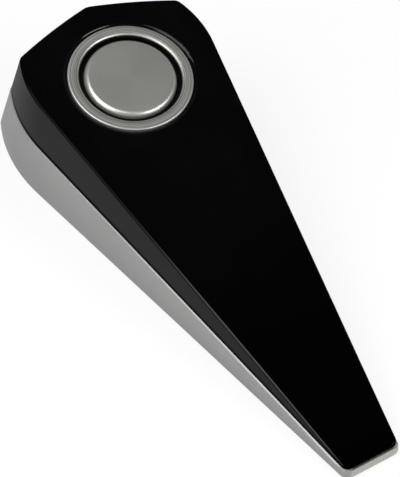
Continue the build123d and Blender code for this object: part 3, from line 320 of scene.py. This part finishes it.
plastics = {
    # name: dark and light colour, lowest and highest roughness
    "board_green": ((0.012, 0.07, 0.03), (0.02, 0.1, 0.045), 0.25, 0.4),
    "chip_black": (grey(0.01), grey(0.016), 0.5, 0.65),
    "coil_ferrite": (grey(0.025), grey(0.035), 0.5, 0.6),
    "capacitor_sleeve": ((0.006, 0.01, 0.04), (0.01, 0.016, 0.06), 0.2, 0.3),
    "resistor_body": (grey(0.012), grey(0.02), 0.4, 0.5),
    "switch_body": (grey(0.02), grey(0.03), 0.4, 0.55),
    "trigger_red": ((0.35, 0.02, 0.012), (0.42, 0.03, 0.02), 0.35, 0.45),
    "slider_black": (grey(0.012), grey(0.02), 0.4, 0.5),
    "siren_white": ((0.6, 0.6, 0.56), (0.68, 0.68, 0.64), 0.4, 0.5),
    "snap_vinyl": (grey(0.012), grey(0.02), 0.45, 0.6),
    "lead_red": ((0.35, 0.012, 0.01), (0.42, 0.02, 0.016), 0.35, 0.5),
    "lead_black": (grey(0.01), grey(0.018), 0.35, 0.5),
    "lead_white": (grey(0.55), grey(0.62), 0.35, 0.5),
    "lead_yellow": ((0.5, 0.33, 0.03), (0.58, 0.4, 0.05), 0.35, 0.5),
    "lead_blue": ((0.015, 0.05, 0.25), (0.025, 0.07, 0.32), 0.35, 0.5),
}
metals = {
    "spring_steel": (grey(0.45), grey(0.6), 0.2, 0.3),
    "pin_steel": (grey(0.4), grey(0.5), 0.2, 0.3),
    "screw_steel": (grey(0.42), grey(0.55), 0.25, 0.4),
    "coil_copper": ((0.5, 0.18, 0.07), (0.65, 0.26, 0.12), 0.25, 0.4),
    "siren_brass": ((0.55, 0.36, 0.12), (0.65, 0.45, 0.18), 0.25, 0.4),
    "terminal_metal": (grey(0.45), grey(0.58), 0.2, 0.35),
}
materials = {name: moulded(name, *look) for name, look in plastics.items()}
materials.update({name: metal(name, *look) for name, look in metals.items()})
shell = moulded("shell_silver", (0.26, 0.26, 0.257), (0.285, 0.285, 0.282), 0.4, 0.48,
                specular=0.2, metallic=0.12)
cover = moulded("cover_black", grey(0.0012), grey(0.0022), 0.07, 0.11, grain=500.0,
                strength=0.015, specular=0.0)
ring, ring_radius = spun_metal("ring_metal", (0.145, 0.147, 0.132), (0.56, 0.565, 0.52),
                               0.38, 0.44, lines=2700.0, depth=0.6, metallic=0.7)
cap, _ = spun_metal("cap_metal", (0.49, 0.495, 0.455), (0.53, 0.535, 0.495),
                    0.33, 0.36, lines=9000.0, depth=0.02, metallic=0.75)
materials.update({
    "shell_silver": shell,
    "cover_black": cover,
    "ring_metal": ring,
    "cap_metal": cap,
    "door_silver": moulded("door_silver", (0.32, 0.32, 0.315), (0.35, 0.35, 0.345),
                           0.38, 0.46, specular=0.4, metallic=0.2),
    "plunger_black": moulded("plunger_black", grey(0.002), grey(0.003), 0.45, 0.6,
                             specular=0.1),
    "battery_case": moulded("battery_case", grey(0.03), grey(0.045), 0.25, 0.35,
                            metallic=0.3),
    "pad_rubber": moulded("pad_rubber", grey(0.012), grey(0.022), 0.75, 0.9,
                          grain=1400.0, strength=0.4),
})

# The silver shell: painted shade darkens its walls to the rear and towards the floor
tree = shell.node_tree
x, y, z = axes(tree)
over_rim = height_over(tree, RIM_AT_TIP, RIM_SLOPE)
tint(shell, product(tree, fade(tree, x, *REAR_X), REAR_SHADE), grey(REAR_SHADE_GREY))
# Painted shade, darkest at the foot of the wall
rim_height = math_node(tree, "MULTIPLY_ADD", x, -RIM_SLOPE,
                       RIM_AT_TIP + RIM_SLOPE * TIP_X)
up_wall = math_node(tree, "DIVIDE", z, rim_height)
wall_shade = product(tree, fade(tree, up_wall, *WALL_SHARE), WALL_SHADE)
tint(shell, wall_shade, grey(WALL_SHADE_GREY))

# The rim's chamfer has a painted highlight towards the tip, and the land under the
# skirt has painted shade
behind_lip = fade(tree, x, *BEHIND_LIP_X)
chamfer = fade(tree, over_rim, *CHAMFER_OVER_RIM)
chamfer_highlight = product(tree, chamfer, fade(tree, x, *CHAMFER_X), behind_lip)
tint(shell, chamfer_highlight, CHAMFER_HIGHLIGHT_COLOUR)
# Painted shade on the land under the skirt, behind the lip
land = fade(tree, over_rim, *LAND_OVER_RIM)
tint(shell, product(tree, land, behind_lip), LAND_SHADE_COLOUR)

# The top of the lip has painted shade beside the cover's nose, and its front is painted
# lighter
lip_top_shade = product(
    tree, land,
    fade(tree, x, *LIP_TOP_FRONT_X),
    fade(tree, math_node(tree, "ABSOLUTE", y), *LIP_TOP_ACROSS),
    fade(tree, x, *LIP_TOP_REAR_X),
)
tint(shell, lip_top_shade, LIP_TOP_SHADE_COLOUR)
# Painted light on the front of the lip
tint(shell, fade(tree, x, *LIP_FRONT_X), LIP_FRONT_LIGHT_COLOUR)

# The cover's top has painted shade that makes it blackest towards the tip
tree = cover.node_tree
x, y, _ = axes(tree)
skirt = fade(tree, height_over(tree, TOP_AT_TIP, TOP_SLOPE), *SKIRT_UNDER_TOP)
top_only = math_node(tree, "SUBTRACT", 1.0, skirt)
top_shade = product(tree, fade(tree, x, *TOP_SHADE_X), top_only)
tint(cover, top_shade, grey(TOP_SHADE_GREY))

# Its lacquer is full on top, thin where the rounded long edge mirrors the lamps,
# thinner on the skirt, and fades out at the skirt's lower edge
across = math_node(tree, "ABSOLUTE", y)
past_side = math_node(tree, "MULTIPLY_ADD", x, SIDE_TAPER, across)
long_edge = product(
    tree, fade(tree, past_side, *LONG_EDGE_PAST), fade(tree, x, *LONG_EDGE_X)
)
top_coat = math_node(tree, "MULTIPLY_ADD", long_edge,
                     LONG_EDGE_COAT - TOP_COAT, TOP_COAT)
skirt_coat = math_node(tree, "MULTIPLY_ADD", fade(tree, x, *REAR_SKIRT_X),
                       REAR_SKIRT_COAT - SKIRT_COAT, SKIRT_COAT)
coat = tree.nodes.new("ShaderNodeMix")
tree.links.new(skirt, coat.inputs["Factor"])
tree.links.new(top_coat, coat.inputs["A"])
tree.links.new(skirt_coat, coat.inputs["B"])
over_edge = height_over(tree, EDGE_AT_TIP, EDGE_SLOPE)
soft_edge = product(
    tree, fade(tree, over_edge, *EDGE_SOFT), fade(tree, x, *EDGE_SOFT_X), EDGE_SOFTNESS
)
lower_edge = math_node(tree, "MAXIMUM", soft_edge, fade(tree, over_edge, *EDGE_HARD))
above_edge = math_node(tree, "SUBTRACT", 1.0, lower_edge)
lacquer = product(tree, coat.outputs["Result"], above_edge)
shader = tree.nodes["Principled BSDF"]
tree.links.new(lacquer, shader.inputs["Coat Weight"])
shader.inputs["Coat Roughness"].default_value = COAT_ROUGHNESS

# The ring's bore has painted shade below its rounded edge, and its outer edge has a
# painted highlight
tint(ring, fade(ring.node_tree, ring_radius, *RING_BORE_SHADE), grey(RING_BORE_SHADE_GREY))
# Painted highlight on the ring's outer edge
tint(ring, fade(ring.node_tree, ring_radius, *RING_EDGE_HIGHLIGHT), grey(RING_EDGE_HIGHLIGHT_GREY))

for name, node in nodes.items():
    for material_slot in node.material_slots:
        material_slot.material = materials[slot_of[name]]


# Turned pieces and springs


def finished(name, bm, sharp_angle, place, body, node):
    """Makes a shaded piece of a bmesh, which rides on a body and stands for a node."""
    bmesh.ops.recalc_face_normals(bm, faces=bm.faces)
    mesh = bpy.data.meshes.new(name)
    bm.to_mesh(mesh)
    bm.free()
    mesh.polygons.foreach_set("use_smooth", [True] * len(mesh.polygons))
    mesh.set_sharp_from_angle(angle=math.radians(sharp_angle))
    mesh.materials.append(materials[slot_of[node]])
    piece = bpy.data.objects.new(name, mesh)
    bpy.context.scene.collection.objects.link(piece)
    piece.matrix_world = place
    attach(piece, body)
    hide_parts(node)
    return piece


def around(count):
    """The cosine and sine of evenly spaced angles round a circle."""
    angles = [2 * math.pi * i / count for i in range(count)]
    return [(math.cos(angle), math.sin(angle)) for angle in angles]


def turned(name, profile, body, node):
    """A piece turned about the button's axis from (radius, height) points."""
    bm = bmesh.new()
    loops = []
    for radius, height in profile:
        if radius == 0:
            loops.append([bm.verts.new((0, 0, height))])
        else:
            loops.append([
                bm.verts.new((radius * c, radius * s, height))
                for c, s in around(TURNED_SEGMENTS)
            ])
    pairs = list(zip(loops, loops[1:]))
    if len(loops[0]) > 1:
        pairs.append((loops[-1], loops[0]))
    for low, high in pairs:
        for i in range(TURNED_SEGMENTS):
            j = (i + 1) % TURNED_SEGMENTS
            if len(low) == 1:
                bm.faces.new((low[0], high[i], high[j]))
            elif len(high) == 1:
                bm.faces.new((low[i], high[0], low[j]))
            else:
                bm.faces.new((low[i], high[i], high[j], low[j]))
    return finished(name, bm, TURNED_SHARP_DEG, button_frame, body, node)


def arc(centre_r, centre_z, radius, start, end, steps=14):
    """Points on an arc of a profile, its angles in degrees from the outward radius."""
    angles = [math.radians(start + (end - start) * i / steps) for i in range(steps + 1)]
    return [
        (centre_r + radius * math.cos(angle), centre_z + radius * math.sin(angle))
        for angle in angles
    ]


def coiled(name, node, body, seats, coil_radius, wire, height, turns):
    """Coil springs of one node, each standing on a seat matrix."""
    bm = bmesh.new()
    steps = round(turns * STEPS_PER_TURN)
    upward = Vector((0, 0, 1))
    for seat in seats:
        loops = []
        for i in range(steps + 1):
            angle = 2 * math.pi * turns * i / steps
            outward = Vector((math.cos(angle), math.sin(angle), 0))
            rise = wire / 2 + (height - wire) * i / steps
            centre = coil_radius * outward + rise * upward
            loops.append([
                bm.verts.new(seat @ (centre + wire / 2 * (c * outward + s * upward)))
                for c, s in around(WIRE_SIDES)
            ])
        for low, high in zip(loops, loops[1:]):
            for a in range(WIRE_SIDES):
                b = (a + 1) % WIRE_SIDES
                bm.faces.new((low[a], low[b], high[b], high[a]))
        bm.faces.new(loops[0])
        bm.faces.new(loops[-1])
    return finished(name, bm, COIL_SHARP_DEG, Matrix.Identity(4), body, node)


button_frame = (
    Matrix.Translation(BUTTON_CENTRE) @ Matrix.Rotation(math.atan(TOP_SLOPE), 4, "Y")
)
ring_profile = (
    [(RING_BORE_RADIUS, -RING_DEPTH)]
    + arc(RING_BORE_RADIUS + RING_INNER_ROUNDING, -RING_INNER_ROUNDING,
          RING_INNER_ROUNDING, 180, 90)
    + arc(RING_RADIUS - RING_OUTER_ROUNDING, -RING_OUTER_ROUNDING,
          RING_OUTER_ROUNDING, 90, 0, steps=8)
    + [(RING_RADIUS, -RING_DEPTH)]
)
turned("ring_turned", ring_profile, "cover", "bezel_ring")
cap_profile = (
    [(0, 0)] + [(radius, 0) for radius in CAP_FLAT_LOOPS]
    + arc(CAP_RADIUS - CAP_ROUNDING, -CAP_ROUNDING, CAP_ROUNDING, 90, 0)
    + [(CAP_RADIUS, -CAP_DEPTH), (0, -CAP_DEPTH)]
)
turned("cap_turned", cap_profile, "button", "button_cap")

# The springs are wound here
spring_low, spring_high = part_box("cover_springs")
spring_x = (spring_low.x + spring_high.x) / 2
spring_y = spring_high.y - COVER_COIL_RADIUS - COVER_WIRE / 2
cover_coils = coiled(
    "cover_springs_coiled", "cover_springs", "base",
    [Matrix.Translation((spring_x, side * spring_y, COVER_SEAT_Z)) for side in (1, -1)],
    COVER_COIL_RADIUS, COVER_WIRE, COVER_SPRING_HEIGHT, COVER_TURNS,
)
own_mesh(cover_coils)

button_seat = button_frame @ Matrix.Translation((0, 0, -BUTTON_SEAT_DEPTH))
button_coil = coiled(
    "button_spring_coiled", "button_spring", "cover", [button_seat],
    BUTTON_COIL_RADIUS, BUTTON_WIRE, BUTTON_SPRING_HEIGHT, BUTTON_TURNS,
)
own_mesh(button_coil)


# Floor, world, lamps and camera


def mixed_shader(tree, amount, first, second, output_type):
    """Mixes two shaders and links the result to the tree's output."""
    mix = tree.nodes.new("ShaderNodeMixShader")
    tree.links.new(amount, mix.inputs["Fac"])
    tree.links.new(first, mix.inputs[1])
    tree.links.new(second, mix.inputs[2])
    output = next(node for node in tree.nodes if node.type == output_type)
    tree.links.new(mix.outputs["Shader"], output.inputs["Surface"])


# The floor is white, and part of what the camera and the gloss see of it is glow
bpy.ops.mesh.primitive_plane_add(size=FLOOR_SIZE)
floor = bpy.context.object
floor.name = "floor"
floor.location.z = -FLOOR_DROP
floor_material, tree, shader = new_material("floor_white")
shader.inputs["Roughness"].default_value = FLOOR_ROUGHNESS
shader.inputs["Specular IOR Level"].default_value = 0.0
floor_cloud = noise(tree, place_on(tree), FLOOR_CLOUD_SCALE, detail=2.0, rough=0.5)
floor_colour = coloured(tree, floor_cloud, *map(grey, FLOOR_GREYS))
tree.links.new(floor_colour, shader.inputs["Base Color"])
rays = tree.nodes.new("ShaderNodeLightPath").outputs
seen = math_node(tree, "MAXIMUM", rays["Is Camera Ray"], rays["Is Glossy Ray"])
seen = math_node(tree, "MAXIMUM", seen, rays["Is Transmission Ray"])
glow = tree.nodes.new("ShaderNodeEmission")
mixed_shader(tree, product(tree, seen, FLOOR_GLOW), shader.outputs["BSDF"],
             glow.outputs["Emission"], "OUTPUT_MATERIAL")
floor.data.materials.append(floor_material)

# The world is white to the camera, and lights the object from the horizon
world = bpy.data.worlds.new("studio")
bpy.context.scene.world = world
world.use_nodes = True
tree = world.node_tree
split = tree.nodes.new("ShaderNodeSeparateXYZ")
coords = tree.nodes.new("ShaderNodeTexCoord")
tree.links.new(coords.outputs["Generated"], split.inputs["Vector"])
sky = tree.nodes.new("ShaderNodeValToRGB")
sky.color_ramp.interpolation = "EASE"
for element, height, light in zip(sky.color_ramp.elements, SKY_HEIGHTS, SKY_LIGHT):
    element.position = height
    element.color = (*grey(light), 1.0)
tree.links.new(split.outputs["Z"], sky.inputs["Fac"])
background = tree.nodes["Background"]
tree.links.new(sky.outputs["Color"], background.inputs["Color"])
white = tree.nodes.new("ShaderNodeBackground")
white.inputs["Color"].default_value = (*grey(1.0), 1.0)
rays = tree.nodes.new("ShaderNodeLightPath").outputs
mixed_shader(tree, rays["Is Camera Ray"], background.outputs["Background"],
             white.outputs["Background"], "OUTPUT_WORLD")

for name, azimuth, elevation, width, height, power in LAMPS:
    lamp_data = bpy.data.lights.new(name, "AREA")
    lamp_data.shape = "RECTANGLE"
    lamp_data.size = width
    lamp_data.size_y = height
    lamp_data.energy = power
    lamp = bpy.data.objects.new(name, lamp_data)
    bpy.context.scene.collection.objects.link(lamp)
    turn, rise = math.radians(azimuth), math.radians(elevation)
    lamp.location = LAMP_DISTANCE * Vector((
        math.cos(rise) * math.cos(turn),
        math.cos(rise) * math.sin(turn),
        math.sin(rise),
    ))
    lamp.rotation_mode = "QUATERNION"
    lamp.rotation_quaternion = lamp.location.to_track_quat("Z", "Y")

camera_data = bpy.data.cameras.new("camera")
camera_data.lens = LENS
camera_data.sensor_width = SENSOR_WIDTH
camera_data.clip_start = CLIP_START
camera = bpy.data.objects.new("camera", camera_data)
bpy.context.scene.collection.objects.link(camera)
along = VIEW_ALONG.normalized()
right = along.cross(VIEW_UP.normalized()).normalized()
up = right.cross(along).normalized()
camera.matrix_world = (
    Matrix.Translation(CAMERA_PLACE) @ Matrix((right, up, -along)).transposed().to_4x4()
)
bpy.context.scene.camera = camera

bpy.context.scene.view_settings.view_transform = "Standard"
